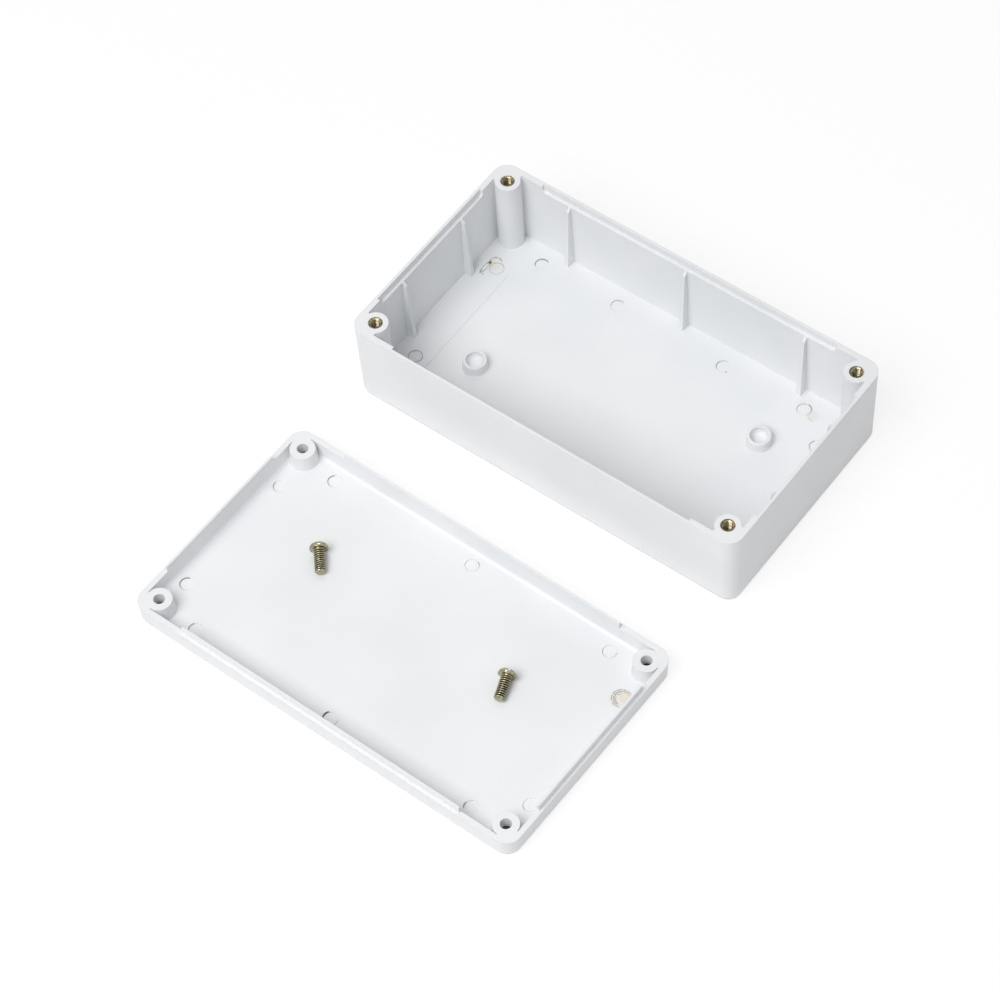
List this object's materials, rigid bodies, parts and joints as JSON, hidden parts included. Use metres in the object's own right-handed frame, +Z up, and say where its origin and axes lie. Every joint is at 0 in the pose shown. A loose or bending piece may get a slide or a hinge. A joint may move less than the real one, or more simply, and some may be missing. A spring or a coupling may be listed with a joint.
{
  "type": "plastic project box",
  "caption": "Open rectangular plastic project box with ribbed walls, corner bosses and brass inserts, its shallow lid lying beside it with loose screws.",
  "frame": {"origin": "centre of the base's underside, on the surface that the base and the lid stand on", "axes": "+X along the base's long side, +Y along its short side and away from the lid, +Z up out of the open base"},
  "size_m": [0.1273, 0.164, 0.0276],
  "materials": {
    "base_plastic": "fine satin moulding",
    "lid_plastic": "fine satin moulding",
    "insert_brass": "turned and knurled",
    "screw_plating": "yellow passivated zinc"
  },
  "bodies": {
    "base": {"base": "base_plastic", "insert_front_left": "insert_brass", "insert_front_right": "insert_brass", "insert_back_left": "insert_brass", "insert_back_right": "insert_brass"},
    "lid": {"lid": "lid_plastic", "screw_left": "screw_plating", "screw_right": "screw_plating"}
  },
  "joints": [
    {"name": "lid_lift", "type": "slide", "parent": "base", "child": "lid", "axis": [0, 0, 1], "range_m": [0, 0.06]}
  ]
}
